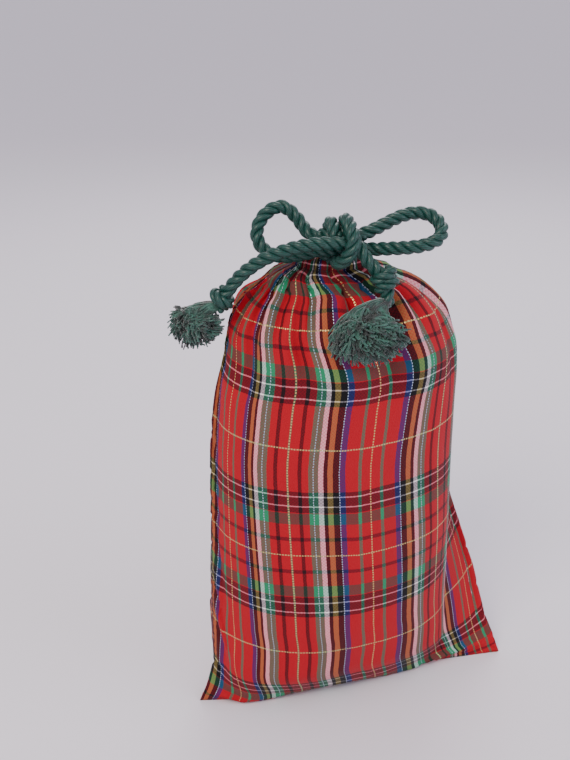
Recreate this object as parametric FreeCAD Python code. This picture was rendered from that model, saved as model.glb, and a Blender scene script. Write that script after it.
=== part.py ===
import FreeCAD, Part
import math
import os

# Drawstring gift sack, filled and tied, standing on its turned-under bottom.
# Millimetres, +Z up, the front of the sack towards -Y, the bottom seam along X.
# The origin is on the floor, at the middle of the sack's own box.

os.makedirs("parts", exist_ok=True)

# ---- driving dimensions -------------------------------------------------
CLOTH = 0.8                 # wall of a cloth panel, two turns of seam included
SEAM_GAP = 3.2              # room between the two plies where they are sewn
SEAM_DEPTH = 6.0            # seam allowance, measured inwards from the stitching
FILLING_FLOOR = 2.0         # the gift stands on the bottom seam allowance
ROPE = 6.0                  # twisted satin cord
NECK = (-12.0, 8.0)         # middle of the gathered mouth
NECK_HEIGHT = 219.0         # height of the cord inside its casing
RING = 12.5                 # radius of that cord, measured to its middle
CASING_OUT = 4.2            # outer radius of the cloth tube round the cord
CASING_IN = 3.4             # its inner radius
EXIT_ANGLE = 37.0           # each side of the front, where the cord turns up
EXIT_BEND = 5.0             # radius of that turn
KNOT_FORWARD = 17.0         # bow knot, in front of the middle of the mouth
KNOT_HEIGHT = 231.5
KNOT_RADIUS = 7.5
BOW_TURN = -14.0            # the bow faces a little to the left of the sack
STOPPER = 6.0               # radius of an overhand stopper knot

# The standing sack, level by level from the floor:
# height, left seam, middle x, half width, front y, widest y, back y, right seam.
LEVELS = [
    (0.0, (-81.5, -10.0), -9.5, 62.0, -14.0, 0.0, 21.0, (81.5, -10.0)),
    (8.0, (-78.0, -9.0), -9.5, 62.0, -26.0, -2.5, 26.0, (79.5, -7.0)),
    (20.0, (-73.0, -5.0), -9.8, 62.0, -34.0, -2.5, 28.0, (76.0, -1.0)),
    (45.0, (-72.8, -2.0), -10.5, 61.8, -36.5, -2.0, 29.5, (72.0, 10.0)),
    (90.0, (-71.8, -1.5), -10.0, 61.2, -37.0, -1.5, 30.5, (60.0, 26.0)),
    (135.0, (-71.0, -1.0), -9.9, 60.5, -36.0, -1.0, 31.0, (47.0, 35.0)),
    (165.0, (-67.8, 0.0), -8.3, 59.0, -34.5, 0.0, 31.0, (37.0, 35.4)),
    (180.0, (-63.0, 1.0), -6.2, 56.3, -32.5, 1.0, 31.0, (31.0, 35.0)),
    (196.0, (-59.6, 2.0), -7.6, 51.6, -27.5, 2.0, 30.5, (22.0, 33.5)),
    (205.0, (-56.4, 3.5), -9.8, 46.2, -21.0, 3.5, 30.0, (14.0, 32.0)),
    (212.0, (-48.8, 5.5), -10.4, 38.0, -13.5, 5.5, 29.0, (6.0, 30.0)),
    (217.0, (-30.3, 8.0), NECK[0], 18.0, -10.0, 8.0, 26.0, (-1.6, 23.2)),
]
LEAVE_FIN = 24.0            # degrees of the body, each side of the right seam
LEAVE_SIDE = 11.0           # degrees of the body, each side of the left seam
ARC_POINTS = 9

# The free stretches of cord, from the middle of the bow knot, in the bow's own
# directions: x to the right, y to the back, z up.
RIGHT_LOOP = [
    (10.8, 0.5, 3.4), (17.5, 3.5, 5.8), (25.0, 7.0, 9.0), (33.0, 9.0, 10.8),
    (40.0, 7.5, 9.8), (43.9, 3.0, 6.0), (43.0, -2.0, 2.0), (37.3, -5.0, -0.4),
    (29.5, -5.6, -1.5), (20.8, -4.2, -2.2), (11.2, -1.5, -3.4)]
LEFT_LOOP = [
    (-10.8, 3.0, 3.2), (-15.6, 6.0, 6.2), (-19.6, 9.0, 11.0), (-25.2, 10.2, 13.8),
    (-31.6, 9.2, 11.4), (-36.0, 7.0, 6.4), (-37.0, 4.4, 0.3), (-33.4, 2.4, -5.2),
    (-26.6, 1.2, -7.4), (-18.6, 0.6, -6.6), (-11.2, 0.0, -4.4)]
LEFT_TAIL = [
    (-4.5, -11.4, 1.9), (-10.8, -11.9, 1.7), (-17.8, -12.2, 0.8), (-25.4, -12.1, -1.4),
    (-33.0, -11.6, -4.7), (-39.6, -10.8, -9.1), (-45.0, -10.0, -14.2), (-49.0, -9.4, -19.6)]
RIGHT_TAIL = [
    (2.6, -4.2, 10.4), (3.2, -9.2, 7.4), (4.2, -12.2, 2.6), (6.4, -12.8, -2.6),
    (10.2, -12.8, -6.4), (14.6, -13.0, -9.6), (18.4, -13.8, -13.6), (19.4, -16.2, -19.2)]
LEFT_STOPPER = (-51.8, -9.0, -23.4)
RIGHT_STOPPER = (18.0, -13.6, -13.2)

# Tassels: middle of the hinge, direction of the hanging yarns, length and widths.
LEFT_TASSEL_AXIS = (-0.72, 0.06, -0.69)
TASSEL_TOP = 4.2
TASSEL_WIDE = 12.0
TASSEL_LONG = 25.0
TASSEL_END = 6.0            # rounding of the left tassel's far rim
RIGHT_TASSEL_MIDDLE = (12.5, -27.8, -35.8)
RIGHT_TASSEL_RADII = (16.5, 9.0, 12.0)


# ---- helpers ------------------------------------------------------------
def vector(x, y, z):
    return FreeCAD.Vector(x, y, z)


def bow_point(point):
    """A point given in the bow's own directions, in the sack's frame."""
    turn = math.radians(BOW_TURN)
    x = point[0] * math.cos(turn) - point[1] * math.sin(turn)
    y = point[0] * math.sin(turn) + point[1] * math.cos(turn)
    return vector(NECK[0] + x, NECK[1] - KNOT_FORWARD + y, KNOT_HEIGHT + point[2])


def bow_direction(point):
    return bow_point(point) - bow_point((0.0, 0.0, 0.0))


def spline(points):
    curve = Part.BSplineCurve()
    curve.interpolate(points)
    return curve.toShape()


def unit(x, y):
    size = math.hypot(x, y)
    return (x / size, y / size)


def body_angle(level, corner):
    """Direction of a seam on the body's oval, in degrees."""
    middle, half, front, widest, back = level[2:7]
    depth = (back - widest) if corner[1] > widest else (widest - front)
    return math.degrees(math.atan2((corner[1] - widest) / depth, (corner[0] - middle) / half))


def oval_point(level, degrees, inset, height):
    """A point of the body's oval, drawn in by the inset."""
    middle, half, front, widest, back = level[2:7]
    angle = math.radians(degrees)
    depth = (back - widest) if math.sin(angle) > 0 else (widest - front)
    return vector(middle + (half - inset) * math.cos(angle),
                  widest + (depth - inset) * math.sin(angle), height)


def seam_point(level, corner, across, inward, height):
    """A point near a side seam: across towards the front, inward to the middle."""
    out = unit(corner[0] - level[2], corner[1] - level[5])
    side = (out[1], -out[0]) if corner[0] > level[2] else (-out[1], out[0])
    return vector(corner[0] + across * side[0] - inward * out[0],
                  corner[1] + across * side[1] - inward * out[1], height)


def panel_angles(level, is_front):
    """Start and end of the body stretch of a panel, left seam to right seam."""
    left = body_angle(level, level[1]) % 360.0
    right = body_angle(level, level[7])
    if is_front:
        return max(left + LEAVE_SIDE, 195.0), 360.0 + right - LEAVE_FIN
    return min(left - LEAVE_SIDE, 165.0), max(right + LEAVE_FIN, 15.0)


def panel_side(level, is_front, inset, height):
    """Edges of one face of a panel's section, from the left seam to the right."""
    start, end = panel_angles(level, is_front)
    sign = 1.0 if is_front else -1.0
    across = sign * (SEAM_GAP / 2 + CLOTH - inset)
    first = seam_point(level, level[1], across, 0.0, height)
    last = seam_point(level, level[7], across, 0.0, height)
    arc = []
    for step in range(ARC_POINTS):
        angle = start + (end - start) * step / (ARC_POINTS - 1)
        arc.append(oval_point(level, angle, inset, height))
    return first, arc, last


def panel_section(level, is_front):
    """Closed section of a cloth panel at one level."""
    height = max(level[0], CLOTH)
    first_out, arc_out, last_out = panel_side(level, is_front, 0.0, height)
    first_in, arc_in, last_in = panel_side(level, is_front, CLOTH, height)
    edges = [
        Part.LineSegment(first_out, arc_out[0]).toShape(),
        spline(arc_out),
        Part.LineSegment(arc_out[-1], last_out).toShape(),
        Part.LineSegment(last_out, last_in).toShape(),
        Part.LineSegment(last_in, arc_in[-1]).toShape(),
        spline(arc_in[::-1]),
        Part.LineSegment(arc_in[0], first_in).toShape(),
        Part.LineSegment(first_in, first_out).toShape()]
    return Part.Wire(edges)


def base_plate():
    """The stretch of the back panel that lies turned under, on the floor."""
    level = LEVELS[0]
    first_front, arc_front, last_front = panel_side(level, True, 0.0, 0.0)
    first_back, arc_back, last_back = panel_side(level, False, 0.0, 0.0)
    edges = [
        Part.LineSegment(first_front, arc_front[0]).toShape(),
        spline(arc_front),
        Part.LineSegment(arc_front[-1], last_front).toShape(),
        Part.LineSegment(last_front, last_back).toShape(),
        Part.LineSegment(last_back, arc_back[-1]).toShape(),
        spline(arc_back[::-1]),
        Part.LineSegment(arc_back[0], first_back).toShape(),
        Part.LineSegment(first_back, first_front).toShape()]
    return Part.Face(Part.Wire(edges)).extrude(vector(0, 0, CLOTH))


def seam_strip(corner_index, half_thickness):
    """Sewn allowance of a side seam, inside the sack."""
    sections = []
    for level in LEVELS[:-1]:
        height = max(level[0], CLOTH)
        corner = level[corner_index]
        points = [
            seam_point(level, corner, half_thickness, 0.0, height),
            seam_point(level, corner, half_thickness, SEAM_DEPTH, height),
            seam_point(level, corner, -half_thickness, SEAM_DEPTH, height),
            seam_point(level, corner, -half_thickness, 0.0, height)]
        sections.append(Part.makePolygon(points + points[:1]))
    return Part.makeLoft(sections, True, True)


def bottom_strip(clear, thickness):
    """Sewn allowance of the bottom seam, lying on the turned-under cloth."""
    level = LEVELS[0]
    near = panel_side(level, True, CLOTH + clear, CLOTH)[1]
    far = panel_side(level, True, CLOTH + clear + SEAM_DEPTH, CLOTH)[1]
    edges = [
        spline(near),
        Part.LineSegment(near[-1], far[-1]).toShape(),
        spline(far[::-1]),
        Part.LineSegment(far[0], near[0]).toShape()]
    return Part.Face(Part.Wire(edges)).extrude(vector(0, 0, thickness))


def filling_section(level, side_room, face_room):
    """Closed oval of the gift inside, clear of the cloth and its seams."""
    height = max(level[0], FILLING_FLOOR)
    middle, half, front, widest, back = level[2:7]
    points = []
    for step in range(12):
        angle = math.radians(30.0 * step)
        depth = (back - widest) if step < 6 else (widest - front)
        points.append(vector(middle + (half - side_room) * math.cos(angle),
                             widest + (depth - face_room) * math.sin(angle), height))
    curve = Part.BSplineCurve()
    curve.interpolate(points, PeriodicFlag=True)
    return Part.Wire(curve.toShape())


def cord_path(points):
    """Straight runs joined by tangent arcs, and the radius of every arc."""
    edges = []
    radii = []
    start = points[0]
    for before, corner, after in zip(points, points[1:], points[2:]):
        come = (corner - before).normalize()
        go = (after - corner).normalize()
        turn = come.getAngle(go)
        cut = 0.45 * min((corner - before).Length, (after - corner).Length)
        radius = cut / math.tan(turn / 2)
        inward = (go - come).normalize()
        arc_start = corner - come * cut
        arc_end = corner + go * cut
        edges.append(Part.LineSegment(start, arc_start).toShape())
        edges.append(Part.Arc(arc_start, arc_middle(corner, inward, radius, turn), arc_end).toShape())
        radii.append(radius)
        start = arc_end
    edges.append(Part.LineSegment(start, points[-1]).toShape())
    return Part.Wire(edges), radii


def arc_middle(corner, inward, radius, turn):
    """Middle point of the tangent arc at a corner of a route."""
    return corner + inward * (radius / math.cos(turn / 2) - radius)


def tube(wire, direction, diameter):
    """Round cord swept along a wire."""
    start = wire.Edges[0].Vertexes[0].Point
    circle = Part.Wire(Part.Circle(start, direction, diameter / 2).toShape())
    return wire.makePipeShell([circle], True, False)


def free_cord(name, route):
    """One free stretch of the drawstring, with its measures printed."""
    points = [bow_point(point) for point in route]
    wire, radii = cord_path(points)
    solid = tube(wire, points[1] - points[0], ROPE)
    section = math.pi * ROPE * ROPE / 4
    print(name, "length %.1f" % wire.Length, "radii", " ".join("%.0f" % r for r in radii),
          "volume ratio %.3f" % (solid.Volume / (section * wire.Length)))
    return solid


def neck_cord():
    """The drawstring in its casing, and its two ends turned up into the knot."""
    middle = vector(NECK[0], NECK[1], NECK_HEIGHT)

    def ring_point(degrees):
        angle = math.radians(degrees)
        return middle + vector(RING * math.cos(angle), RING * math.sin(angle), 0)

    right = -90.0 + EXIT_ANGLE
    left = 270.0 - EXIT_ANGLE
    ring = Part.Arc(ring_point(right), ring_point(90.0), ring_point(left)).toShape()

    def rise(degrees, sign):
        """Quarter turn from the ring up to the knot, and the short leg above it."""
        angle = math.radians(degrees)
        along = vector(math.sin(angle), -math.cos(angle), 0) * sign
        start = ring_point(degrees)
        up = vector(0, 0, EXIT_BEND)
        half = math.sqrt(0.5)
        mid = start + along * (EXIT_BEND * half) + up * (1 - half)
        end = start + along * EXIT_BEND + up
        top = vector(end.x, end.y, KNOT_HEIGHT - 2.0)
        return Part.Arc(start, mid, end).toShape(), Part.LineSegment(end, top).toShape()

    turn_right, leg_right = rise(right, 1.0)
    turn_left, leg_left = rise(left, -1.0)
    wire = Part.Wire([leg_right, turn_right, ring, turn_left, leg_left])
    ordered = Part.Wire(Part.__sortEdges__(wire.Edges))
    start = ordered.OrderedVertexes[0].Point
    circle = Part.Wire(Part.Circle(start, vector(0, 0, 1), ROPE / 2).toShape())
    return ordered.makePipeShell([circle], True, False)


def casing(start_degrees):
    """Half of the turned-over hem that carries the cord round the mouth."""
    middle = vector(NECK[0], NECK[1], NECK_HEIGHT)
    outer = Part.makeTorus(RING, CASING_OUT, middle, vector(0, 0, 1), 0, 360, 180)
    inner = Part.makeTorus(RING, CASING_IN, middle, vector(0, 0, 1), 0, 360, 180)
    half = outer.cut(inner)
    half.rotate(middle, vector(0, 0, 1), start_degrees)
    return half


def casing_slot():
    """Opening at the front, where both ends of the cord leave the casing."""
    wide = 19.0
    deep = 10.5
    return Part.makeBox(wide, deep, 2 * CASING_OUT,
                        vector(NECK[0] - wide / 2, NECK[1] - RING - CASING_OUT - 1.0, NECK_HEIGHT))


def yarn_bundle(hinge, axis):
    """Frayed cord end: a flared bundle of yarns with a rounded end."""
    direction = vector(*axis).normalize()
    start = hinge + direction * (STOPPER + 0.6)
    flare = Part.makeCone(TASSEL_TOP, TASSEL_WIDE, TASSEL_LONG, start, direction)
    tip = start + direction * TASSEL_LONG
    rim = [edge for edge in flare.Edges if edge.distToShape(Part.Vertex(tip))[0] > TASSEL_WIDE - 0.1
           and edge.BoundBox.Center.distanceToPoint(tip) < 1.0]
    return flare.makeFillet(TASSEL_END, rim)


def flattened_bundle():
    """Frayed cord end lying on the shoulder of the sack."""
    solid = Part.makeSphere(1.0)
    stretch = FreeCAD.Matrix()
    stretch.scale(*RIGHT_TASSEL_RADII)
    solid = solid.transformGeometry(stretch)
    solid.Placement = FreeCAD.Placement(bow_point(RIGHT_TASSEL_MIDDLE),
                                        FreeCAD.Rotation(vector(0, 0, 1), BOW_TURN))
    return solid


def save(name, shape):
    shape.exportStep("parts/%s.step" % name)
    print("%-20s valid %s solids %d volume %.0f" % (
        name, shape.isValid(), len(shape.Solids), shape.Volume))


# ---- the cloth ----------------------------------------------------------
front_panel = Part.makeLoft([panel_section(level, True) for level in LEVELS], True, True)
back_wall = Part.makeLoft([panel_section(level, False) for level in LEVELS], True, True)
back_panel = back_wall.fuse(base_plate()).removeSplitter()
left_side_seam = seam_strip(1, 1.3)
right_side_seam = seam_strip(7, 1.3)
bottom_seam = bottom_strip(0.4, 1.2)
filling = Part.makeLoft([filling_section(level, 8.5, 4.0) for level in LEVELS[:-2]], True, True)

front_casing = casing(180.0).cut(casing_slot())
back_casing = casing(0.0)

# ---- the drawstring -----------------------------------------------------
cord_in_casing = neck_cord()
knot_middle = bow_point((0.0, 0.0, 0.0))
bow_knot = Part.makeSphere(KNOT_RADIUS, knot_middle).cut(cord_in_casing)
left_loop = free_cord("left_loop", LEFT_LOOP)
right_loop = free_cord("right_loop", RIGHT_LOOP)
left_tail = free_cord("left_tail", LEFT_TAIL)
right_tail = free_cord("right_tail", RIGHT_TAIL)
left_stopper_knot = Part.makeSphere(STOPPER, bow_point(LEFT_STOPPER))
right_stopper_knot = Part.makeSphere(STOPPER, bow_point(RIGHT_STOPPER))
left_tail = left_tail.cut(left_stopper_knot)
right_tail = right_tail.cut(right_stopper_knot)
left_tassel = yarn_bundle(bow_point(LEFT_STOPPER), tuple(bow_direction(LEFT_TASSEL_AXIS)))
right_tassel = flattened_bundle()

save("front_panel", front_panel)
save("back_panel", back_panel)
save("left_side_seam", left_side_seam)
save("right_side_seam", right_side_seam)
save("bottom_seam", bottom_seam)
save("filling", filling)
save("front_casing", front_casing)
save("back_casing", back_casing)
save("neck_cord", cord_in_casing)
save("bow_knot", bow_knot)
save("left_loop", left_loop)
save("right_loop", right_loop)
save("left_tail", left_tail)
save("left_stopper_knot", left_stopper_knot)
save("left_tassel", left_tassel)
save("right_tail", right_tail)
save("right_stopper_knot", right_stopper_knot)
save("right_tassel", right_tassel)
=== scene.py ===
import math
import random

import bpy
import numpy as np
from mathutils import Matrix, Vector, noise


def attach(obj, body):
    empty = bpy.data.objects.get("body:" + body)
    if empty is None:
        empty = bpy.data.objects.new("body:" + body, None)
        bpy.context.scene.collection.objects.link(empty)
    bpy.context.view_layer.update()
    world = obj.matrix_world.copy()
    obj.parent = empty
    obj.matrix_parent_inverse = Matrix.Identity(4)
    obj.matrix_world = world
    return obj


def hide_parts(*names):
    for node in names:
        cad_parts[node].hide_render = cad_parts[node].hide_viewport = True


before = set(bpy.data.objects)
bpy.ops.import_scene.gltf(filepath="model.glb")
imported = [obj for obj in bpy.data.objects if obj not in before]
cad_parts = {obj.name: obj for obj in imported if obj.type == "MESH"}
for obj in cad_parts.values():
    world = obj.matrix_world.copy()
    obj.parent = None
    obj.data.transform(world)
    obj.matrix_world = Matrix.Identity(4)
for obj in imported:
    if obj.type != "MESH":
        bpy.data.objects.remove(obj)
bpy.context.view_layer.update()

MM = 0.001

# ---- Standpoint, floor and light ----
# The sack stands on a plain pale floor under soft studio light, seen a little from
# its left and from above. The camera's place is given from the middle of the foot.
FACING = math.radians(14.0)
LOOK_DOWN = math.radians(22.0)
bpy.ops.object.camera_add(location=(-0.1382, -0.4147, 0.338))
camera = bpy.context.object
camera.name = "camera"
forward = Vector((math.sin(FACING) * math.cos(LOOK_DOWN),
                  math.cos(FACING) * math.cos(LOOK_DOWN), -math.sin(LOOK_DOWN)))
camera.rotation_euler = forward.to_track_quat("-Z", "Y").to_euler()
camera.data.sensor_width = 36.0
camera.data.lens = 47.4
bpy.context.scene.camera = camera


def linear(hex_colour):
    """An sRGB hex colour as linear RGBA."""
    channels = [int(hex_colour[i:i + 2], 16) / 255 for i in (0, 2, 4)]
    return tuple(c / 12.92 if c <= 0.04045 else ((c + 0.055) / 1.055) ** 2.4
                 for c in channels) + (1.0,)


def add_node(tree, kind, inputs=None, **settings):
    """One node with its settings and its inputs, each a value or another socket."""
    node = tree.nodes.new(kind)
    for name, value in settings.items():
        setattr(node, name, value)
    for key, value in (inputs or {}).items():
        socket = node.inputs[key]
        if isinstance(value, bpy.types.NodeSocket):
            tree.links.new(value, socket)
        else:
            socket.default_value = value
    return node


def new_material(name):
    """An empty material, its node tree and its shader."""
    material = bpy.data.materials.new(name)
    material.use_nodes = True
    tree = material.node_tree
    return material, tree, tree.nodes["Principled BSDF"]


def aim_light(name, place, target, size, watts, colour):
    """A square soft box at a place, facing a target."""
    bpy.ops.object.light_add(type="AREA", location=place)
    lamp = bpy.context.object
    lamp.name = name
    lamp.rotation_euler = (Vector(target) - Vector(place)).to_track_quat("-Z", "Y").to_euler()
    lamp.data.size = size
    lamp.data.energy = watts
    lamp.data.color = linear(colour)[:3]


bpy.ops.mesh.primitive_plane_add(size=60.0, location=(0.0, 0.0, 0.0))
floor = bpy.context.object
floor.name = "floor"
# Seamless studio paper: matt and pale, a touch of lilac, with no grain at this range.
floor_paper, tree, shader = new_material("pale_paper")
shader.inputs["Base Color"].default_value = linear("E4DEE6")
shader.inputs["Roughness"].default_value = 0.9
floor.data.materials.append(floor_paper)

world = bpy.data.worlds.new("studio")
world.use_nodes = True
world.node_tree.nodes["Background"].inputs["Color"].default_value = linear("E6E2EC")
world.node_tree.nodes["Background"].inputs["Strength"].default_value = 1.1
bpy.context.scene.world = world
aim_light("key", (-0.75, -0.75, 1.1), (0.0, 0.0, 0.12), 0.55, 13.0, "FFF4E6")
aim_light("fill", (0.9, -0.6, 0.6), (0.0, 0.0, 0.1), 0.8, 5.0, "E8EEFF")
aim_light("rim", (0.3, 0.9, 1.0), (0.0, 0.0, 0.15), 0.6, 6.0, "FFFFFF")

# ---- Satin cord: the free stretches of the drawstring ----
# Twisted cord of three satin strands laid right-handed, 6 mm over the strands. The
# loops and tails leave the bow knot, and each tail ends in a knot and a tassel.
STRAND = 1.5
STRAND_OFFSET = 1.62
LAY = 13.5
ROPE_STEP = 0.75
STRAND_SIDES = 12
STRAND_END = 0.6
YARNS_ROUND = 11.0
YARN_SLANT = 0.55
BOW_TURN = math.radians(-14.0)
BOW_MIDDLE = (-12.0, -9.0, 231.5)


def bow_point(x, y, z):
    """A point given from the bow knot in the bow's own directions, in metres."""
    return Vector((BOW_MIDDLE[0] + x * math.cos(BOW_TURN) - y * math.sin(BOW_TURN),
                   BOW_MIDDLE[1] + x * math.sin(BOW_TURN) + y * math.cos(BOW_TURN),
                   BOW_MIDDLE[2] + z)) * MM


def route_line(points):
    """Points read from the smooth line that a route gives."""
    curve = bpy.data.curves.new("route", "CURVE")
    curve.dimensions = "3D"
    curve.resolution_u = 24
    spline = curve.splines.new("NURBS")
    spline.points.add(len(points) - 1)
    for place, point in zip(spline.points, points):
        place.co = (*point, 1.0)
    spline.order_u = 3
    spline.use_endpoint_u = True
    holder = bpy.data.objects.new("route", curve)
    bpy.context.scene.collection.objects.link(holder)
    bpy.context.view_layer.update()
    mesh = bpy.data.meshes.new_from_object(holder)
    line = [vertex.co.copy() for vertex in mesh.vertices]
    bpy.data.objects.remove(holder)
    bpy.data.meshes.remove(mesh)
    return line


def even_line(line, step):
    """The same line at even steps, in metres."""
    line = np.array([tuple(p) for p in line])
    run = np.concatenate([[0.0], np.cumsum(np.linalg.norm(np.diff(line, axis=0), axis=1))])
    count = max(4, int(round(run[-1] / step)))
    at = np.linspace(0.0, run[-1], count + 1)
    return np.stack([np.interp(at, run, line[:, k]) for k in range(3)], axis=1), run[-1]


def carried_frames(line):
    """Tangent and two sideways directions carried along a line without twist."""
    tangents = np.gradient(line, axis=0)
    tangents /= np.linalg.norm(tangents, axis=1)[:, None]
    side = np.cross(tangents[0], (0.31, 0.57, 0.76))
    side /= np.linalg.norm(side)
    sides = []
    for tangent in tangents:
        side = side - tangent * np.dot(side, tangent)
        side /= np.linalg.norm(side)
        sides.append(side.copy())
    sides = np.array(sides)
    return tangents, sides, np.cross(tangents, sides)


def tube_part(line, radii, around, verts, faces, coords):
    """Adds one closed round tube to lists of vertices, faces and face coordinates."""
    tangents, sides, ups = carried_frames(line)
    first = len(verts)
    run = np.concatenate([[0.0], np.cumsum(np.linalg.norm(np.diff(line, axis=0), axis=1))]) / MM
    for i, centre in enumerate(line):
        for k in range(around):
            angle = 2 * math.pi * k / around
            verts.append(centre + radii[i] * (math.cos(angle) * sides[i] + math.sin(angle) * ups[i]))
    for i in range(len(line) - 1):
        for k in range(around):
            a = first + i * around + k
            b = first + i * around + (k + 1) % around
            faces.append((a, b, b + around, a + around))
            coords.append(((k / around, run[i]), ((k + 1) / around, run[i]),
                           ((k + 1) / around, run[i + 1]), (k / around, run[i + 1])))
    for ring, order in ((0, -1), (len(line) - 1, 1)):
        faces.append(tuple(first + ring * around + k for k in range(around))[::order])
        coords.append(tuple((k / around, run[ring]) for k in range(around))[::order])


def mesh_piece(name, verts, faces, coords, material):
    """A smooth mesh object with a UV map, standing at the origin."""
    mesh = bpy.data.meshes.new(name)
    mesh.from_pydata([tuple(v) for v in verts], [], faces)
    layer = mesh.uv_layers.new(name="UVMap")
    layer.data.foreach_set("uv", [c for face in coords for corner in face for c in corner])
    mesh.polygons.foreach_set("use_smooth", [True] * len(mesh.polygons))
    mesh.materials.append(material)
    mesh.update()
    piece = bpy.data.objects.new(name, mesh)
    bpy.context.scene.collection.objects.link(piece)
    return piece


def rope_piece(name, lines, material, scale=1.0):
    """Three strands twisted round each of the lines, as one piece."""
    verts, faces, coords = [], [], []
    for line in lines:
        centre, length = even_line(line, ROPE_STEP * MM)
        tangents, sides, ups = carried_frames(centre)
        run = np.linspace(0.0, length / MM, len(centre))
        for strand in range(3):
            angle = 2 * math.pi * (run / LAY + strand / 3)
            offset = np.cos(angle)[:, None] * sides + np.sin(angle)[:, None] * ups
            path = centre + offset * STRAND_OFFSET * scale * MM
            radii = np.full(len(path), STRAND * scale * MM)
            radii[0] *= STRAND_END
            radii[-1] *= STRAND_END
            tube_part(path, radii, STRAND_SIDES, verts, faces, coords)
    return mesh_piece(name, verts, faces, coords, material)


# Satin finish: long glossy yarns twisted in each strand, deep green, with a faint sheen,
# a painted highlight streaked along the yarns and painted shade in the grooves between them.
satin, tree, shader = new_material("twisted_satin_yarn")
uv = add_node(tree, "ShaderNodeUVMap", uv_map="UVMap")
parts = add_node(tree, "ShaderNodeSeparateXYZ", {0: uv.outputs[0]})
turns = add_node(tree, "ShaderNodeMath", {0: parts.outputs[0], 1: YARNS_ROUND},
                 operation="MULTIPLY")
climb = add_node(tree, "ShaderNodeMath", {0: parts.outputs[1], 1: YARN_SLANT, 2: turns.outputs[0]},
                 operation="MULTIPLY_ADD")
wave = add_node(tree, "ShaderNodeMath", {0: climb.outputs[0], 1: 0.5}, operation="PINGPONG")
grain = add_node(tree, "ShaderNodeTexNoise", {"Vector": uv.outputs[0], "Scale": 3.0, "Detail": 3.0})
yarn_highlight_and_groove_shade = add_node(tree, "ShaderNodeMath", {0: wave.outputs[0], 1: 1.2, 2: grain.outputs["Fac"]},
                 operation="MULTIPLY_ADD")
ramp = add_node(tree, "ShaderNodeValToRGB", {0: yarn_highlight_and_groove_shade.outputs[0]})
# Painted light: the dark end paints shade into the grooves between the yarns and the light teal end paints a
# highlight along their crowns; the grain noise adds random tone.
ramp.color_ramp.elements[0].position = 0.45
ramp.color_ramp.elements[0].color = linear("020D0B")
ramp.color_ramp.elements[1].position = 1.0
ramp.color_ramp.elements[1].color = linear("114A41")
bump = add_node(tree, "ShaderNodeBump", {"Height": wave.outputs[0], "Strength": 0.3,
                                         "Distance": 0.2 * MM})
tree.links.new(ramp.outputs[0], shader.inputs["Base Color"])
tree.links.new(bump.outputs[0], shader.inputs["Normal"])
shader.inputs["Roughness"].default_value = 0.4
shader.inputs["Specular IOR Level"].default_value = 0.42
shader.inputs["Sheen Weight"].default_value = 0.06
shader.inputs["Sheen Roughness"].default_value = 0.3

RIGHT_LOOP = [
    (10.8, 0.5, 3.4), (17.5, 3.5, 5.8), (25.0, 7.0, 9.0), (33.0, 9.0, 10.8),
    (40.0, 7.5, 9.8), (43.9, 3.0, 6.0), (43.0, -2.0, 2.0), (37.3, -5.0, -0.4),
    (29.5, -5.6, -1.5), (20.8, -4.2, -2.2), (11.2, -1.5, -3.4)]
LEFT_LOOP = [
    (-10.8, 3.0, 1.2), (-15.2, 6.0, 2.8), (-18.8, 9.0, 8.2), (-25.2, 10.2, 13.8),
    (-31.6, 9.2, 11.4), (-36.0, 7.0, 6.4), (-37.0, 4.4, 0.3), (-33.4, 2.4, -5.2),
    (-26.6, 1.2, -7.4), (-18.6, 0.6, -6.6), (-11.2, 0.0, -4.4)]
LEFT_TAIL = [
    (-4.5, -11.4, 1.9), (-10.8, -11.9, 1.7), (-17.8, -12.2, 0.8), (-25.4, -12.1, -1.4),
    (-33.0, -11.6, -4.7), (-39.6, -10.8, -9.1), (-45.0, -10.0, -14.2), (-49.0, -9.4, -19.6)]
RIGHT_TAIL = [
    (1.0, -1.2, 6.0), (3.2, -6.2, 5.4), (6.2, -10.2, 1.6), (8.8, -11.8, -2.8),
    (11.6, -12.6, -6.6), (14.8, -13.0, -9.8), (18.4, -13.8, -13.6), (19.4, -16.2, -19.2)]
LEFT_STOPPER = (-51.8, -9.0, -23.4)


def bow_line(points):
    """The smooth line of a route given from the bow knot, in millimetres."""
    return route_line([bow_point(*point) for point in points])


cord_lines = {name: bow_line(route) for name, route in (
    ("left_loop", [(-4.0, 1.5, 1.0)] + LEFT_LOOP + [(-4.0, 0.0, -2.5)]),
    ("right_loop", [(4.0, 0.5, 1.0)] + RIGHT_LOOP + [(4.0, -1.0, -2.5)]),
    ("left_tail", [(1.5, -10.6, 1.6)] + LEFT_TAIL + [LEFT_STOPPER]),
    ("right_tail", RIGHT_TAIL + [(19.2, -17.6, -23.0)]))}
cord_pieces = {}
for name, line in cord_lines.items():
    piece = rope_piece("cord_" + name, [line], satin)
    cord_pieces[name] = piece
    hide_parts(name)
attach(cord_pieces["left_loop"], "bow_left")
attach(cord_pieces["right_loop"], "bow_right")
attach(cord_pieces["left_tail"], "tail_left")
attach(cord_pieces["right_tail"], "tail_right")

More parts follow.
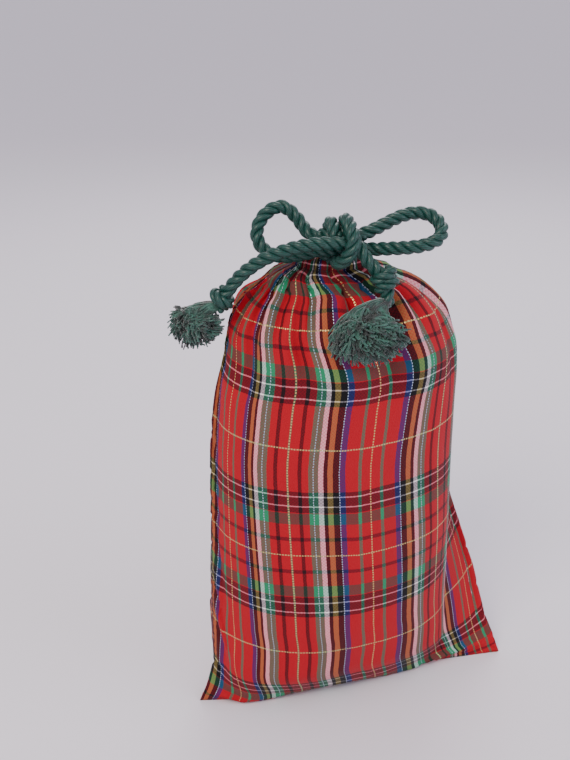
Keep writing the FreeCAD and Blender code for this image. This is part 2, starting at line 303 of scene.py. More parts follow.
# ---- Bow knot ----
# The cord passes over itself twice in front of the gathered mouth: two upright turns
# hold the feet of both loops, and the ends from the casing come up behind them.
knot_lines = [
    bow_line([(-5.0, 4.6, -3.0), (-5.6, 4.2, 4.0), (-4.8, 0.6, 8.6), (-4.0, -4.6, 7.8),
              (-2.6, -8.0, 3.0)]),
    bow_line([(0.6, 4.6, -3.0), (0.8, 5.0, 4.4), (1.4, 1.2, 9.6), (2.6, -5.4, 9.6), (4.6, -12.2, 5.6),
              (4.2, -14.0, 0.0), (1.4, -12.6, -5.2), (-1.6, -8.4, -8.0), (-2.0, -3.0, -8.2)]),
    bow_line([(-10.0, 2.4, 2.6), (-4.0, 0.6, 1.2), (3.0, -0.4, 0.6), (10.5, 0.4, 2.6)]),
    bow_line([(-10.0, -0.2, -4.0), (-3.0, -2.4, -3.4), (4.0, -2.6, -3.4), (10.5, -1.4, -3.4)])]
bow_knot = rope_piece("bow_knot_turns", knot_lines, satin)
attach(bow_knot, "sack")
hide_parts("bow_knot")

# ---- Drawstring inside the casing ----
# The same cord runs round the mouth inside the two casings and comes out at the front,
# where its ends turn up into the bow knot. Only glimpses of it show.
NECK = (-12.0, 8.0)
CASING_HEIGHT = 219.0
CASING_RING = 12.6
EXIT_ANGLE = 37.0
RING_STEPS = 24
SQUEEZED = 0.92
around = []
for turn in range(RING_STEPS + 1):
    angle = math.radians(-90.0 + EXIT_ANGLE + (360.0 - 2 * EXIT_ANGLE) * turn / RING_STEPS)
    around.append(Vector((NECK[0] + CASING_RING * math.cos(angle),
                          NECK[1] + CASING_RING * math.sin(angle), CASING_HEIGHT)) * MM)
rise_right = Vector((NECK[0] + 4.5, NECK[1] - 14.5, CASING_HEIGHT + 6.0)) * MM
rise_left = Vector((NECK[0] - 4.5, NECK[1] - 14.5, CASING_HEIGHT + 6.0)) * MM
neck_cord = rope_piece("neck_cord_in_casing", [route_line([rise_right] + around + [rise_left])],
                       satin, SQUEEZED)
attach(neck_cord, "sack")
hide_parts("neck_cord")

# ---- Stopper knots ----
# An overhand knot pulled tight near the end of each tail: the cord goes once and a
# half round itself before it runs on into the loose yarns.
TURN_STEPS = 14


def stopper_lines(middle, axis, radius, length, turns, lean):
    """The wraps of a tight overhand knot round a stretch of cord: its middle and axis, the
    wraps' radius and length, how many turns they make and the angle where they start."""
    axis = Vector(axis).normalized()
    side = axis.cross(Vector((0.3, -1.0, 0.2))).normalized()
    up = axis.cross(side)
    middle = Vector(middle)
    points = []
    steps = int(TURN_STEPS * turns)
    for step in range(steps + 1):
        share = step / steps
        angle = 2 * math.pi * turns * share + lean
        swell = radius * (0.82 + 0.18 * math.sin(math.pi * share))
        place = middle + axis * (length * (share - 0.5))
        points.append(tuple(place + side * swell * math.cos(angle) + up * swell * math.sin(angle)))
    return [bow_line(points)]


WRAP_SCALE = 0.86
RIGHT_STOPPER = (18.0, -13.6, -13.2)
left_stopper = rope_piece("left_stopper_wraps", stopper_lines(
    LEFT_STOPPER, (-0.72, 0.1, -0.69), 3.6, 5.0, 1.6, 0.4), satin, WRAP_SCALE)
right_stopper = rope_piece("right_stopper_wraps", stopper_lines(
    RIGHT_STOPPER, (0.25, -0.2, -1.0), 3.9, 6.5, 1.7, 2.2), satin, WRAP_SCALE)
for piece, node, body in ((left_stopper, "left_stopper_knot", "tail_left"),
                          (right_stopper, "right_stopper_knot", "tail_right")):
    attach(piece, body)
    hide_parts(node)

# ---- Tassels ----
# Past each stopper knot the cord is unravelled to its yarns, which keep some of their
# curl. They are combed out, cut level, and end in soft tufts.
YARN_STEPS = 16
YARN_SIDES = 4
ROOT_SPREAD = 1.6

# The same yarn, combed loose: duller and softer than the laid cord, painted lighter and
# darker in random patches as light and shade where the fibres turn, with a faint sheen at the tips.
frayed, tree, shader = new_material("unravelled_satin_yarn")
place = add_node(tree, "ShaderNodeTexCoord")
fibre_light_and_shade_patches = add_node(tree, "ShaderNodeTexNoise", {"Vector": place.outputs["Object"], "Scale": 240.0,
                                                "Detail": 4.0})
uv = add_node(tree, "ShaderNodeUVMap", uv_map="UVMap")
parts = add_node(tree, "ShaderNodeSeparateXYZ", {0: uv.outputs[0]})
climb = add_node(tree, "ShaderNodeMath", {0: parts.outputs[1], 1: 1.6, 2: parts.outputs[0]},
                 operation="MULTIPLY_ADD")
fibres = add_node(tree, "ShaderNodeMath", {0: climb.outputs[0], 1: 0.5}, operation="PINGPONG")
# Painted light and shade: the random patches run from near black to light teal.
ramp = add_node(tree, "ShaderNodeValToRGB", {0: fibre_light_and_shade_patches.outputs["Fac"]})
ramp.color_ramp.elements[0].position = 0.38
ramp.color_ramp.elements[0].color = linear("04140F")
ramp.color_ramp.elements[1].position = 0.64
ramp.color_ramp.elements[1].color = linear("285E50")
bump = add_node(tree, "ShaderNodeBump", {"Height": fibres.outputs[0], "Strength": 0.4,
                                         "Distance": 0.15 * MM})
tree.links.new(ramp.outputs[0], shader.inputs["Base Color"])
tree.links.new(bump.outputs[0], shader.inputs["Normal"])
shader.inputs["Roughness"].default_value = 0.55
shader.inputs["Sheen Weight"].default_value = 0.4
shader.inputs["Sheen Roughness"].default_value = 0.5


def yarn_tuft(name, root, lead, middle, radii, face, count, seed, combed):
    """Loose yarns from a root, along a lead direction, to ends spread over a tuft."""
    dice = random.Random(seed)
    root = Vector(root)
    lead = Vector(lead).normalized()
    face = Vector(face).normalized()
    verts, faces, coords = [], [], []
    for _ in range(count):
        while True:
            spot = Vector([dice.uniform(-1, 1) for _ in range(3)])
            if 0.25 < spot.length < 1.0 and spot.normalized().dot(face) > -0.45:
                break
        spot = spot.normalized() * (0.8 + 0.2 * dice.random())
        end = Vector(middle) + Vector(spot[k] * radii[k] for k in range(3))
        start = root + Vector([dice.uniform(-ROOT_SPREAD, ROOT_SPREAD) for _ in range(3)])
        bend = start + lead * dice.uniform(4.0, 8.0) + Vector(combed) * dice.uniform(0.2, 1.0)
        curl = dice.uniform(0.6, 1.15)
        turns = dice.uniform(1.6, 3.0)
        phase = dice.uniform(0.0, 6.28)
        line = []
        for step in range(YARN_STEPS + 1):
            t = step / YARN_STEPS
            point = start * (1 - t) ** 2 + bend * 2 * t * (1 - t) + end * t * t
            swing = curl * t * t * 1.5
            angle = phase + 2 * math.pi * turns * t
            point = point + Vector((math.cos(angle), math.sin(angle), math.sin(angle + 1.0))) * swing
            line.append(tuple(bow_point(*point)))
        line = np.array(line)
        thick = dice.uniform(0.42, 0.62) * MM
        radii_along = thick * np.interp(np.linspace(0, 1, YARN_STEPS + 1), [0, 0.8, 1.0],
                                        [0.8, 1.0, 0.75])
        tube_part(line, radii_along, YARN_SIDES, verts, faces, coords)
    return mesh_piece(name, verts, faces, coords, frayed)


left_tuft = yarn_tuft("left_tassel_yarns", (-54.6, -8.6, -26.6), (-0.8, 0.1, -0.5),
                      (-63.8, -5.5, -36.0), (12.6, 8.0, 10.5), (-0.3, -0.5, -0.8), 520, 3,
                      (-6.0, 0.5, 3.0))
right_tuft = yarn_tuft("right_tassel_yarns", (19.2, -17.4, -22.0), (-0.3, -0.5, -0.9),
                       (11.0, -27.6, -36.0), (17.5, 7.4, 10.8), (0.0, -0.9, -0.45), 740, 8,
                       (-17.0, -2.5, 5.0))
for piece, node, body in ((left_tuft, "left_tassel", "tassel_left"),
                          (right_tuft, "right_tassel", "tassel_right")):
    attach(piece, body)
    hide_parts(node)

# ---- Sack: front and back panels ----
# Two pieces of woven tartan, about 190 by 260 mm, sewn at both sides and the bottom,
# filled and gathered to a mouth. The spare width hangs as a flat fold behind the right.

# Rows of the standing shape, set at a few heights and smoothed between them: height,
# left seam, middle x, half width, front y, widest y, back y, right seam.
STANCE = [
    (0.0, (-81.5, -10.0), -9.5, 62.0, -14.0, 0.0, 21.0, (81.5, -10.0)),
    (8.0, (-78.0, -9.0), -9.5, 62.0, -23.0, -2.5, 26.0, (79.5, -7.0)),
    (20.0, (-73.0, -5.0), -9.8, 62.0, -32.0, -2.5, 28.0, (76.0, -1.0)),
    (45.0, (-72.8, -2.0), -10.5, 61.8, -36.5, -2.0, 29.5, (72.0, 10.0)),
    (90.0, (-71.8, -1.5), -10.0, 61.2, -37.0, -1.5, 30.5, (60.0, 26.0)),
    (135.0, (-71.0, -1.0), -9.9, 60.5, -36.0, -1.0, 31.0, (47.0, 35.0)),
    (165.0, (-67.8, 0.0), -8.3, 59.0, -34.5, 0.0, 31.0, (37.0, 35.4)),
    (180.0, (-63.0, 1.0), -6.2, 56.3, -32.5, 1.0, 31.0, (31.0, 35.0)),
    (196.0, (-59.6, 2.0), -7.6, 51.6, -27.5, 2.0, 30.5, (22.0, 33.5)),
    (205.0, (-55.4, 3.5), -9.8, 45.0, -20.0, 3.5, 30.0, (14.0, 32.0)),
    (211.0, (-46.8, 5.5), -10.4, 36.0, -14.0, 5.5, 28.0, (6.0, 30.0)),
    (215.5, (-37.0, 7.0), -11.6, 25.0, -10.5, 7.0, 26.0, (1.0, 26.0)),
    (218.0, (-29.4, 8.0), -12.0, 17.4, -8.8, 8.0, 24.8, (-2.0, 21.8))]
PANEL_WIDTH = 192.5
UNDER_EDGE = 11.0
EASED_WIDTH = 48.0
EASED_ONTO = 29.0
RIGHT_SIDE = 142.0
FOLD_EDGE = 11.0
FOOT_EASE = 7.0
SHOULDER_CROWDING = 1.45
MOUTH_CROWDING = 1.75
CASING_TUBE = 4.3
COLUMNS = 112
BODY_ROWS = 118
CASING_ROWS = 16
CASING_START = -15.0
CASING_SWEEP = 245.0
FRONT_MOUTH = 235.0
BACK_MOUTH = -125.0
UNDER_ROWS = 6
LEAVE_FIN = 24.0
LEAVE_SIDE = 11.0
FOOT_TURN = 4.5
FINE_STEPS = 480
SMOOTH_STEPS = 27
LINE_POINTS = 90
PLEATS = 10
PLEAT_DEPTH = 3.7
FOLDS = 5
FOLD_DEPTH = 4.2


def smooth_step(value, low, high):
    """0 up to low, 1 from high on, and a smooth rise between them."""
    t = np.clip((value - low) / (high - low), 0.0, 1.0)
    return t * t * (3 - 2 * t)


def stance_rows():
    """The standing shape at even steps up the front of the sack."""
    table = np.array([(z, *left, cx, a, front, wide, back, *right)
                      for z, left, cx, a, front, wide, back, right in STANCE])
    climb = np.hypot(np.diff(table[:, 0]), 0.5 * np.hypot(np.diff(table[:, 5]), np.diff(table[:, 4])))
    run = np.concatenate([[0.0], np.cumsum(climb)])
    fine = np.linspace(0.0, run[-1], FINE_STEPS)
    columns = [np.interp(fine, run, table[:, k]) for k in range(table.shape[1])]
    kernel = np.hanning(SMOOTH_STEPS + 2)[1:-1]
    kernel /= kernel.sum()
    padded = [np.pad(c, SMOOTH_STEPS // 2, mode="reflect", reflect_type="odd") for c in columns]
    smooth = [np.convolve(c, kernel, "valid") for c in padded]
    smooth = np.array(smooth).T
    front = np.hypot(np.diff(smooth[:, 0]), np.diff(smooth[:, 5]))
    length = np.concatenate([[0.0], np.cumsum(front)])
    even = np.linspace(0.0, length[-1], BODY_ROWS)
    return np.stack([np.interp(even, length, smooth[:, k]) for k in range(smooth.shape[1])], 1), even


def body_angle(row, x, y):
    """Direction of a seam on the body's oval, in degrees."""
    z, lx, ly, cx, a, front, wide, back, rx, ry = row
    depth = (back - wide) if y > wide else (wide - front)
    return math.degrees(math.atan2((y - wide) / depth, (x - cx) / a))


def section_line(row, is_front):
    """One panel's line round the sack at a level, from the left seam to the right: oval,
    but squarer at the foot, where it also leans with the way the sack is turned."""
    z, lx, ly, cx, a, front, wide, back, rx, ry = row
    left = body_angle(row, lx, ly) % 360.0
    right = body_angle(row, rx, ry)
    if is_front:
        angles = np.radians(np.linspace(max(left + LEAVE_SIDE, 195.0), 360.0 + right - LEAVE_FIN,
                                        LINE_POINTS))
    else:
        angles = np.radians(np.linspace(min(left - LEAVE_SIDE, 165.0), max(right + LEAVE_FIN, 15.0),
                                        LINE_POINTS))
    depth = np.where(np.sin(angles) > 0, back - wide, wide - front)
    foot = 1.0 - float(smooth_step(z, 6.0, 45.0))
    power = 2.0 / (2.0 + 0.9 * foot)
    x = cx + a * np.sign(np.cos(angles)) * np.abs(np.cos(angles)) ** power
    y = wide + depth * np.sign(np.sin(angles)) * np.abs(np.sin(angles)) ** power
    if is_front:
        y = y + FOOT_TURN * foot * (x - cx) / a
    return np.vstack([[lx, ly], np.stack([x, y], axis=1), [rx, ry]])


def gather_run(share, total, height):
    """How far along the line a share of the panel's width lies: eased round the left
    side of the body, crowded towards the left on the shoulder, and most at the mouth."""
    body = np.interp(share * PANEL_WIDTH,
                     [0.0, EASED_WIDTH, RIGHT_SIDE, PANEL_WIDTH - FOLD_EDGE, PANEL_WIDTH],
                     [0.0, EASED_ONTO, RIGHT_SIDE - EASED_WIDTH + EASED_ONTO, total - FOLD_EDGE, total])
    easing = FOOT_EASE * (1.0 - float(smooth_step(height, 25.0, 150.0)))
    body = body + easing * np.interp(share, [0.0, 0.2, 0.75, 1.0], [0.0, 1.0, 1.0, 0.0])
    shoulder = total * share ** SHOULDER_CROWDING
    mouth = total * share ** MOUTH_CROWDING
    high = float(smooth_step(height, 165.0, 196.0))
    top = float(smooth_step(height, 207.0, 218.0))
    return (body * (1 - high) + shoulder * high) * (1 - top) + mouth * top


def pleat_lobes(share, count, phase):
    """Rounded lobes between sharp valleys, unevenly wide."""
    drift = share + 0.014 * np.sin(2 * math.pi * 3 * share + 1.0 + phase) \
        + 0.009 * np.sin(2 * math.pi * 7 * share + 2.0 + 2 * phase)
    return 2 * np.abs(np.sin(math.pi * count * drift + phase)) ** 0.7 - 1.3


def cloth_wrinkles(grid, seed):
    """Soft dents and swells that cloth keeps over a full sack, in millimetres."""
    dents = np.zeros(grid.shape[:2])
    for j in range(grid.shape[0]):
        for i in range(grid.shape[1]):
            x, y, z = grid[j, i]
            broad = noise.noise(Vector((x / 30.0 + seed, y / 30.0, z / 65.0)))
            small = noise.noise(Vector((x / 11.0, y / 11.0 + seed, z / 24.0)))
            dents[j, i] = 1.5 * broad + 0.35 * small
    return dents


def panel_grid(is_front):
    """Places of a panel's grid in millimetres, and each place's spot on the flat cloth."""
    rows, run = stance_rows()
    share = np.linspace(0.0, 1.0, COLUMNS + 1)
    seed = 0.0 if is_front else 2.1
    count = UNDER_ROWS + BODY_ROWS + CASING_ROWS
    grid = np.zeros((count, COLUMNS + 1, 3))
    flat = np.zeros((count, COLUMNS + 1, 2))
    flat[:, :, 0] = share * PANEL_WIDTH
    hem = np.sin(math.pi * share) ** 0.5
    for j in range(BODY_ROWS):
        line = section_line(rows[j], is_front)
        step = np.concatenate([[0.0], np.cumsum(np.linalg.norm(np.diff(line, axis=0), axis=1))])
        at = gather_run(share, step[-1], rows[j, 0]) if is_front else share * step[-1]
        level = UNDER_ROWS + j
        grid[level, :, 0] = np.interp(at, step, line[:, 0])
        grid[level, :, 1] = np.interp(at, step, line[:, 1])
        grid[level, :, 2] = rows[j, 0]
        flat[level, :, 1] = run[j] + UNDER_EDGE * hem
    edge = grid[UNDER_ROWS]
    left, right = edge[0], edge[-1]
    along = (edge[:, 0] - left[0]) / (right[0] - left[0])
    seam = left[1] + (right[1] - left[1]) * along + 5.0 * np.sin(math.pi * np.clip(along, 0.0, 1.0))
    for k in range(UNDER_ROWS):
        part = k / UNDER_ROWS
        grid[k, :, 0] = edge[:, 0]
        grid[k, :, 1] = seam + (edge[:, 1] - seam) * part
        grid[k, :, 2] = 0.15 * (1 - part)
        flat[k, :, 1] = UNDER_EDGE * hem * part
    for k in range(CASING_ROWS):
        turn = math.radians(CASING_START + CASING_SWEEP * (k + 1) / CASING_ROWS)
        spread = gather_run(share, 1.0, CASING_HEIGHT) if is_front else share
        theta = np.radians(180.0 + (FRONT_MOUTH if is_front else BACK_MOUTH) * spread)
        radius = CASING_RING + CASING_TUBE * math.cos(turn)
        level = UNDER_ROWS + BODY_ROWS + k
        grid[level, :, 0] = NECK[0] + radius * np.cos(theta)
        grid[level, :, 1] = NECK[1] + radius * np.sin(theta)
        grid[level, :, 2] = CASING_HEIGHT + CASING_TUBE * math.sin(turn)
        flat[level, :, 1] = run[-1] + UNDER_EDGE \
            + CASING_TUBE * math.radians(CASING_SWEEP) * (k + 1) / CASING_ROWS
    normals = np.cross(np.gradient(grid, axis=1), np.gradient(grid, axis=0))
    normals *= 1.0 if is_front else -1.0
    normals /= np.linalg.norm(normals, axis=2)[:, :, None] + 1e-9
    up = np.concatenate([np.zeros(UNDER_ROWS), rows[:, 0], np.full(CASING_ROWS, CASING_HEIGHT)])
    narrow = smooth_step(up, 180.0, 206.0) * (1.0 - 0.62 * smooth_step(up, 209.0, 218.0))
    broad = smooth_step(up, 150.0, 198.0) * (1.0 - smooth_step(up, 206.0, 216.0))
    pleats = PLEAT_DEPTH * narrow[:, None] * pleat_lobes(share, PLEATS, seed) \
        + FOLD_DEPTH * broad[:, None] * pleat_lobes(share, FOLDS, seed + 0.6)
    held = np.sin(math.pi * np.clip(share, 0.0, 1.0)) ** 0.35
    calm = smooth_step(up, 0.0, 18.0) * (1.0 - smooth_step(up, 205.0, 215.0))
    bulge = (pleats + cloth_wrinkles(grid, seed) * calm[:, None]) * held
    return grid + normals * bulge[:, :, None], flat


front_grid, front_flat = panel_grid(True)
back_grid, back_flat = panel_grid(False)
SETTLE_FRAMES = 14
SETTLE_CAP = 2.6


def settle_cloth(front, back):
    """Lets both panels, joined at the sides, sag and crease as cloth between the held
    mouth and the foot, and returns them, no place moved further than the cap."""
    rows, columns = front.shape[:2]
    front_ids = np.arange(rows * columns).reshape(rows, columns)
    back_ids = front_ids + rows * columns
    back_ids[:, 0] = front_ids[:, 0]
    back_ids[:, -1] = front_ids[:, -1]
    places = np.concatenate([front.reshape(-1, 3), back.reshape(-1, 3)])
    faces = []
    for j in range(rows - 1):
        for i in range(columns - 1):
            faces.append((front_ids[j, i], front_ids[j, i + 1], front_ids[j + 1, i + 1], front_ids[j + 1, i]))
            faces.append((back_ids[j, i + 1], back_ids[j, i], back_ids[j + 1, i], back_ids[j + 1, i + 1]))
    mesh = bpy.data.meshes.new("cloth_trial")
    mesh.from_pydata([tuple(place * MM) for place in places], [], [tuple(map(int, f)) for f in faces])
    trial = bpy.data.objects.new("cloth_trial", mesh)
    bpy.context.scene.collection.objects.link(trial)
    held = trial.vertex_groups.new(name="held")
    ends = list(range(UNDER_ROWS + 2)) + list(range(rows - CASING_ROWS - 3, rows))
    fixed = np.concatenate([front_ids[ends].ravel(), back_ids[ends].ravel()])
    held.add([int(v) for v in fixed], 1.0, "REPLACE")
    sides = np.concatenate([front_ids[:, :2].ravel(), front_ids[:, -2:].ravel()])
    held.add([int(v) for v in sides], 0.6, "REPLACE")
    cloth = trial.modifiers.new("cloth", "CLOTH")
    cloth.settings.quality = 6
    cloth.settings.mass = 0.12
    cloth.settings.tension_stiffness = 25.0
    cloth.settings.compression_stiffness = 25.0
    cloth.settings.shear_stiffness = 8.0
    cloth.settings.bending_stiffness = 0.25
    cloth.settings.shrink_min = -0.025
    cloth.settings.use_pressure = True
    cloth.settings.uniform_pressure_force = 0.6
    cloth.settings.vertex_group_mass = "held"
    cloth.collision_settings.use_collision = False
    cloth.point_cache.frame_end = SETTLE_FRAMES
    for frame_number in range(1, SETTLE_FRAMES + 1):
        bpy.context.scene.frame_set(frame_number)
    settled = trial.evaluated_get(bpy.context.evaluated_depsgraph_get()).data
    after = np.zeros(len(places) * 3)
    settled.vertices.foreach_get("co", after)
    moved = after.reshape(-1, 3) / MM - places
    reach = np.linalg.norm(moved, axis=1)[:, None] + 1e-9
    moved *= np.minimum(1.0, SETTLE_CAP / reach)
    bpy.context.scene.frame_set(1)
    bpy.data.objects.remove(trial)
    places = places + moved
    return places[front_ids], places[back_ids]


front_grid, back_grid = settle_cloth(front_grid, back_grid)


# Woven tartan, plain weave of mercerised cotton yarn with metallic film yarns: matt,
# each stripe broken by the yarns that cross it, and dotted gold and silver lines.
WARP_HALF = 39.5
WARP_MIDDLE = 23.5
WARP_STRIPES = (
    (0.0, "AE0C24"), (4.9, "2F9E72"), (6.5, "AE0C24"), (12.8, "16348C"), (15.6, "00050A"),
    (18.7, "A09A4C"), (21.3, "00050A"), (23.2, "FFFFFF"), (25.6, "2F9E72"), (30.0, "AE0C24"),
    (33.1, "26060E"), (34.8, "AE0C24"), (38.9, "2F9E72"))
WEFT_HALF = 54.0
WEFT_STRIPES = (
    (0.0, "A87A6A"), (0.3, "AE0C24"), (20.8, "200815"), (22.9, "E8D4D4"), (23.6, "200815"),
    (27.9, "E8D4D4"), (28.6, "200815"), (31.5, "AE0C24"), (31.9, "266E4E"), (37.7, "AE0C24"),
    (44.3, "3C0A1C"), (46.3, "AE0C24"), (53.7, "A87A6A"))
YARN_PITCH = 0.8
LUREX_PITCH = 1.3
WARP_GOLD = 0.32
WEFT_GOLD = 0.3
SILVER_LINES = ((15.45, 15.85), (27.7, 28.1))


def tartan_cloth():
    """Tartan on a piece's UV map, which holds the spot on the flat cloth in mm."""
    material, tree, shader = new_material("woven_tartan_cotton_lurex")
    uv = add_node(tree, "ShaderNodeUVMap", uv_map="UVMap")
    spot = add_node(tree, "ShaderNodeSeparateXYZ", {0: uv.outputs[0]})

    def maths(operation, *values):
        return add_node(tree, "ShaderNodeMath", dict(enumerate(values)),
                        operation=operation).outputs[0]

    def stripes(along, middle, half, table):
        fold = maths("PINGPONG", maths("SUBTRACT", along, middle), half)
        ramp = add_node(tree, "ShaderNodeValToRGB", {0: maths("DIVIDE", fold, half)})
        ramp.color_ramp.interpolation = "CONSTANT"
        elements = ramp.color_ramp.elements
        elements.remove(elements[1])
        elements[0].position = 0.0
        elements[0].color = linear(table[0][1])
        for start, colour in table[1:]:
            elements.new(start / half).color = linear(colour)
        return fold, add_node(tree, "ShaderNodeGamma", {0: ramp.outputs[0], 1: 1 / 2.2}).outputs[0]

    wobble = add_node(tree, "ShaderNodeTexNoise", {"Vector": uv.outputs[0], "Scale": 0.35, "Detail": 3.0})
    drift = maths("MULTIPLY_ADD", wobble.outputs["Fac"], 0.5, -0.25)
    across = maths("ADD", spot.outputs[0], drift)
    up = maths("ADD", spot.outputs[1], drift)
    warp_fold, warp = stripes(across, WARP_MIDDLE, WARP_HALF, WARP_STRIPES)
    weft_fold, weft = stripes(up, WEFT_HALF, WEFT_HALF, WEFT_STRIPES)

    yarn_x = maths("PINGPONG", spot.outputs[0], YARN_PITCH / 2)
    yarn_y = maths("PINGPONG", spot.outputs[1], YARN_PITCH / 2)
    check = add_node(tree, "ShaderNodeTexChecker", {0: uv.outputs[0], 1: (1, 1, 1, 1), 2: (0, 0, 0, 1),
                                                    3: 1 / YARN_PITCH})
    grain = add_node(tree, "ShaderNodeTexNoise", {"Vector": uv.outputs[0], "Scale": 1.1, "Detail": 2.0})
    over = maths("MULTIPLY_ADD", check.outputs["Fac"], 0.13, 0.41)
    over = maths("MULTIPLY_ADD", grain.outputs["Fac"], 0.12, over)
    cloth = add_node(tree, "ShaderNodeMix", {0: over, 6: weft, 7: warp}, data_type="RGBA")
    cloth = add_node(tree, "ShaderNodeGamma", {0: cloth.outputs[2], 1: 2.45}).outputs[0]

    def band(fold, low, high):
        return maths("MULTIPLY", maths("GREATER_THAN", fold, low), maths("LESS_THAN", fold, high))

    def dots(along):
        return maths("GREATER_THAN", maths("PINGPONG", along, LUREX_PITCH / 2), LUREX_PITCH * 0.2)

    gold = maths("MULTIPLY", maths("MAXIMUM", maths("LESS_THAN", warp_fold, WARP_GOLD),
                                   maths("GREATER_THAN", warp_fold, WARP_HALF - WARP_GOLD)), dots(up))
    gold = maths("MAXIMUM", gold, maths("MULTIPLY", dots(across), maths(
        "MAXIMUM", maths("LESS_THAN", weft_fold, WEFT_GOLD),
        maths("GREATER_THAN", weft_fold, WEFT_HALF - WEFT_GOLD))))
    silver = maths("MULTIPLY", maths("MAXIMUM", band(warp_fold, *SILVER_LINES[0]),
                                     band(warp_fold, *SILVER_LINES[1])), dots(up))
    gilded = add_node(tree, "ShaderNodeMix", {0: gold, 6: cloth, 7: linear("C4A76E")}, data_type="RGBA")
    silvered = add_node(tree, "ShaderNodeMix", {0: silver, 6: gilded.outputs[2], 7: linear("A9B8CA")},
                        data_type="RGBA")
    metal = maths("MAXIMUM", gold, silver)
    tree.links.new(silvered.outputs[2], shader.inputs["Base Color"])
    tree.links.new(maths("MULTIPLY", metal, 0.75), shader.inputs["Metallic"])
    tree.links.new(maths("MULTIPLY_ADD", metal, -0.4, 0.78), shader.inputs["Roughness"])
    weave = maths("ADD", maths("MULTIPLY", yarn_x, check.outputs["Fac"]),
                  maths("MULTIPLY", yarn_y, maths("SUBTRACT", 1.0, check.outputs["Fac"])))
    weave = maths("MULTIPLY_ADD", grain.outputs["Fac"], 0.35, weave)
    bump = add_node(tree, "ShaderNodeBump", {"Height": weave, "Strength": 0.35, "Distance": 0.5 * MM})
    tree.links.new(bump.outputs[0], shader.inputs["Normal"])
    shader.inputs["Specular IOR Level"].default_value = 0.2
    shader.inputs["Sheen Weight"].default_value = 0.05
    shader.inputs["Sheen Roughness"].default_value = 0.5
    return material


tartan = tartan_cloth()


def panel_mesh(name, grid, flat):
    """A panel as a sheet of quads with its flat-cloth UV map in millimetres."""
    rows, columns = grid.shape[:2]
    faces, coords = [], []
    for j in range(rows - 1):
        for i in range(columns - 1):
            a = j * columns + i
            corners = (a, a + 1, a + 1 + columns, a + columns)
            faces.append(corners)
            coords.append([tuple(flat.reshape(-1, 2)[c]) for c in corners])
    return mesh_piece(name, grid.reshape(-1, 3) * MM, faces, coords, tartan)


seam_row = UNDER_ROWS + BODY_ROWS - 1
front_panel = panel_mesh("front_panel_cloth", front_grid[:seam_row + 1], front_flat[:seam_row + 1])
back_panel = panel_mesh("back_panel_cloth", back_grid[:seam_row + 1, ::-1], back_flat[:seam_row + 1, ::-1])
front_casing = panel_mesh("front_casing_cloth", front_grid[seam_row:], front_flat[seam_row:])
back_casing = panel_mesh("back_casing_cloth", back_grid[seam_row:, ::-1], back_flat[seam_row:, ::-1])
CLOTH = 0.8


def thicken(piece, thickness, columns=0):
    """Gives a sheet its thickness, inwards from the side that shows. A panel of that
    many columns thins out to its side edges, where it meets the other in a seam."""
    bpy.ops.object.select_all(action="DESELECT")
    bpy.context.view_layer.objects.active = piece
    piece.select_set(True)
    wall = piece.modifiers.new("thickness", "SOLIDIFY")
    wall.thickness = thickness * MM
    wall.offset = -1.0
    if columns:
        body = piece.vertex_groups.new(name="full_thickness")
        for column in range(columns):
            share = min(1.0, 0.04 + 0.32 * min(column, columns - 1 - column))
            body.add(list(range(column, len(piece.data.vertices), columns)), share, "REPLACE")
        wall.vertex_group = body.name
    bpy.ops.object.modifier_apply(modifier=wall.name)


for piece, node in ((front_panel, "front_panel"), (back_panel, "back_panel"),
                    (front_casing, "front_casing"), (back_casing, "back_casing")):
    thicken(piece, CLOTH, COLUMNS + 1)
    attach(piece, "sack")
    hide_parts(node)

# ---- Side and bottom seams ----
# Inside the sack the edges of both panels lie together in a narrow allowance, stitched
# down each side and along the bottom.
ALLOWANCE = 6.0
SEAM_INSET = 4.5
SEAM_LOW = 3
SEAM_TOP = 22
LEFT_INWARD = 14
RIGHT_INWARD = -9
FOOT_ENDS = 8
STRIP_ROW = 1.9


def seam_strip(name, node, outer, inner):
    """A narrow double edge of cloth from a seam's line towards the inside."""
    outer, inner = np.array(outer), np.array(inner)
    way = inner - outer
    way /= np.linalg.norm(way, axis=1)[:, None] + 1e-9
    near = outer + way * SEAM_INSET
    far = outer + way * (SEAM_INSET + ALLOWANCE)
    strip = np.stack([near, (near + far) / 2, far], axis=1)
    spots = np.zeros((len(outer), 3, 2))
    spots[:, :, 0] = np.array([0.0, ALLOWANCE / 2, ALLOWANCE])
    spots[:, :, 1] = np.arange(len(outer))[:, None] * STRIP_ROW
    piece = panel_mesh(name, strip, spots)
    thicken(piece, CLOTH)
    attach(piece, "sack")
    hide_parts(node)


side_rows = slice(UNDER_ROWS + SEAM_LOW, seam_row - SEAM_TOP)
middle = (front_grid + back_grid) / 2
seam_strip("left_side_seam_allowance", "left_side_seam", front_grid[side_rows, 0],
           middle[side_rows, LEFT_INWARD])
seam_strip("right_side_seam_allowance", "right_side_seam", front_grid[side_rows, -1],
           middle[side_rows, RIGHT_INWARD])
foot = front_grid[0, FOOT_ENDS:-FOOT_ENDS] + np.array([0.0, 0.0, 0.6])
seam_strip("bottom_seam_allowance", "bottom_seam", foot, foot + np.array([0.0, 8.0, 0.6]))

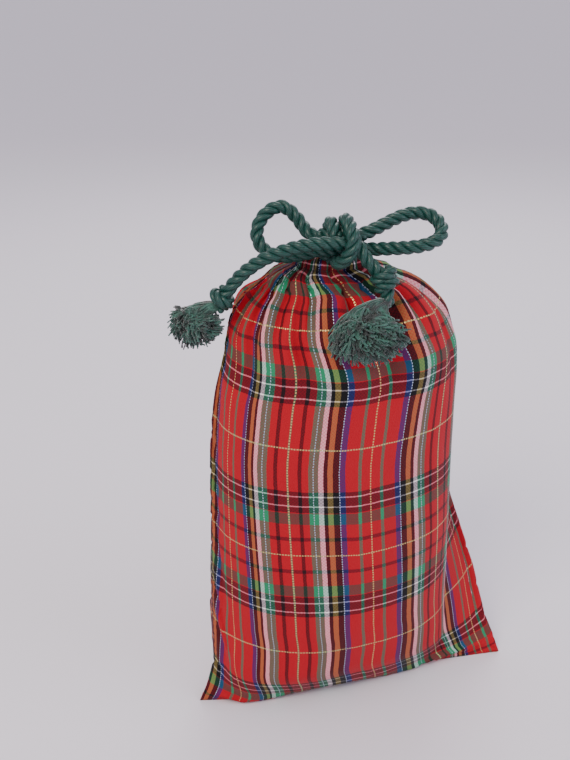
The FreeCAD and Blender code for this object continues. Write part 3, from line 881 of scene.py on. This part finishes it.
# ---- Filling ----
# The sack is stuffed to stand up, here with a plain soft block that nobody sees.
# White polyester wadding: matt, off-white, tangled fibres with soft hollows between.
wadding, tree, shader = new_material("white_polyester_wadding")
place = add_node(tree, "ShaderNodeTexCoord")
fibre = add_node(tree, "ShaderNodeTexNoise", {"Vector": place.outputs["Object"], "Scale": 300.0,
                                              "Detail": 5.0})
# Painted shade: the ramp darkens the hollows that the same noise dents into the bump.
ramp = add_node(tree, "ShaderNodeValToRGB", {0: fibre.outputs["Fac"]})
ramp.color_ramp.elements[0].color = linear("C9C6BE")
ramp.color_ramp.elements[1].color = linear("F4F2EC")
bump = add_node(tree, "ShaderNodeBump", {"Height": fibre.outputs["Fac"], "Strength": 0.6,
                                         "Distance": 1.0 * MM})
tree.links.new(ramp.outputs[0], shader.inputs["Base Color"])
tree.links.new(bump.outputs[0], shader.inputs["Normal"])
shader.inputs["Roughness"].default_value = 0.95
FILLING_ROWS = 26
FILLING_SHARE = 0.74
FILLING_FOOT = 4.0
FILLING_TOP = 186.0
AROUND = 64
verts, faces = [], []
rows = stance_rows()[0]
levels = np.linspace(FILLING_FOOT, FILLING_TOP, FILLING_ROWS)
for level in levels:
    cx, a, front, wide, back = [np.interp(level, rows[:, 0], rows[:, k]) for k in range(3, 8)]
    swell = FILLING_SHARE * (1.0 - 0.3 * smooth_step(level, 150.0, FILLING_TOP))
    for k in range(AROUND):
        angle = 2 * math.pi * k / AROUND
        depth = (back - wide) if math.sin(angle) > 0 else (wide - front)
        verts.append(((cx + a * swell * math.cos(angle)) * MM,
                      (wide + depth * swell * math.sin(angle)) * MM, level * MM))
for j in range(FILLING_ROWS - 1):
    for k in range(AROUND):
        first, second = j * AROUND + k, j * AROUND + (k + 1) % AROUND
        faces.append((first, second, second + AROUND, first + AROUND))
faces.append(tuple(range(AROUND))[::-1])
faces.append(tuple((FILLING_ROWS - 1) * AROUND + k for k in range(AROUND)))
coords = [tuple((verts[v][0] / MM, verts[v][2] / MM) for v in face) for face in faces]
filling = mesh_piece("filling_wadding", verts, faces, coords, wadding)
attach(filling, "sack")
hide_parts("filling")
